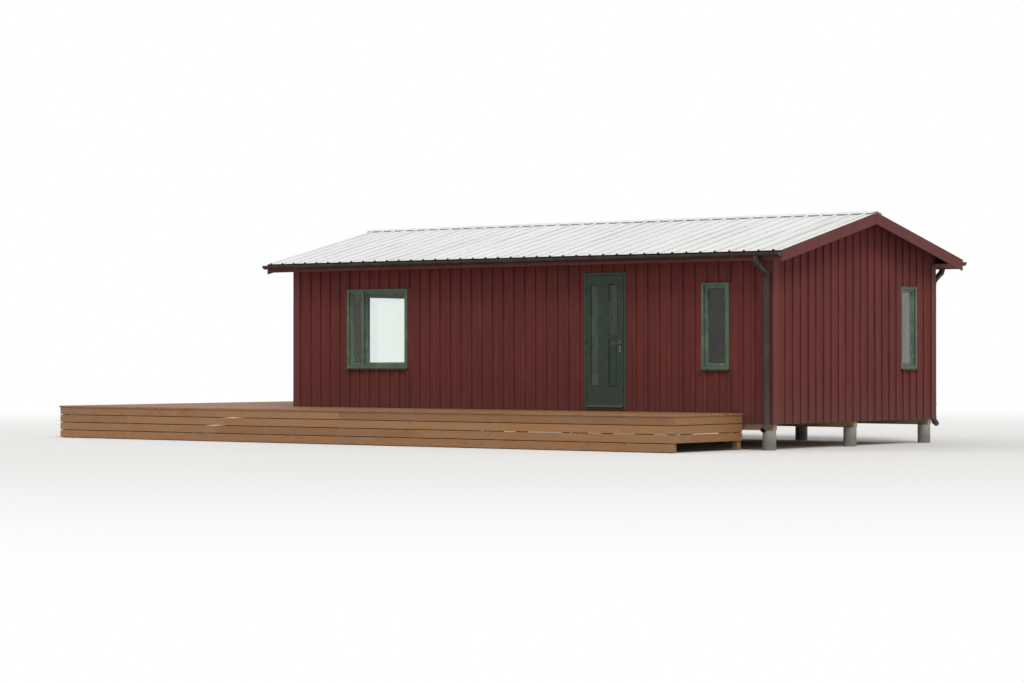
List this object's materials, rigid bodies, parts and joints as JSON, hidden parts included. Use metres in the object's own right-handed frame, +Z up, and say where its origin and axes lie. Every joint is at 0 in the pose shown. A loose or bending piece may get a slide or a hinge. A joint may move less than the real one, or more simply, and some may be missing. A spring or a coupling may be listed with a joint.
{
  "type": "lakeside cabin with terrace",
  "caption": "Single-storey timber cabin on piers with vertical red boards, a low gable roof of ribbed metal, a hinged door and an L-shaped timber terrace.",
  "frame": {"origin": "centre of the underside of the middle foundation pier, on the ground below the middle of the house", "axes": "+X along the long front wall to its right end, +Y from the front wall to the back wall, +Z up"},
  "size_m": [13.48, 7.012, 3.5808],
  "materials": {
    "concrete": "cast, rough",
    "structural_timber": "sawn spruce",
    "floorboards": "planed pine, lacquered",
    "lining": "planed pine lining",
    "red_cladding": "matt red slurry paint on sawn boards",
    "red_trim": "matt red paint on trim boards",
    "roof_metal": "pale grey coated sheet",
    "dark_metal": "dark brown coated sheet",
    "green_joinery": "satin green paint on joinery",
    "green_door": "satin dark green paint",
    "glass": "clear sealed units",
    "fittings": "brushed steel",
    "terrace_timber": "new pressure-treated pine, unpainted"
  },
  "bodies": {
    "cabin": {"foundation_piers": "concrete", "bearers": "structural_timber", "floor_joists": "structural_timber", "floor": "floorboards", "front_wall_left": "lining", "front_wall_right": "lining", "front_wall_over_door": "lining", "back_wall": "lining", "left_gable_wall": "lining", "right_gable_wall": "lining", "front_cladding_left": "red_cladding", "front_cladding_right": "red_cladding", "front_cladding_at_door": "red_cladding", "back_cladding": "red_cladding", "left_gable_cladding": "red_cladding", "right_gable_cladding": "red_cladding", "corner_boards": "red_trim", "ceiling": "lining", "roof_trusses": "structural_timber", "roof_boards_front": "structural_timber", "roof_boards_back": "structural_timber", "roof_sheets_front": "roof_metal", "roof_sheets_back": "roof_metal", "ridge_cap": "roof_metal", "eaves": "red_trim", "barge_boards": "red_trim", "gutters": "dark_metal", "downpipes": "dark_metal", "door_frame": "green_joinery", "door_frame_hinges": "fittings", "front_windows": "green_joinery", "back_windows": "green_joinery", "gable_windows": "green_joinery", "window_sills": "dark_metal", "window_glass": "glass", "terrace_posts": "terrace_timber", "terrace_frame_front": "terrace_timber", "terrace_frame_side": "terrace_timber", "terrace_deck_front": "terrace_timber", "terrace_deck_side": "terrace_timber", "terrace_skirt": "terrace_timber"},
    "door": {"door_leaf": "green_door", "door_glass": "glass", "door_handle": "fittings", "door_leaf_hinges": "fittings"}
  },
  "joints": [
    {"name": "door_hinge", "type": "hinge", "parent": "cabin", "child": "door", "pos_m": [1.325, -2.394, 1.6], "axis": [0, 0, -1], "range_deg": [0, 100]}
  ]
}
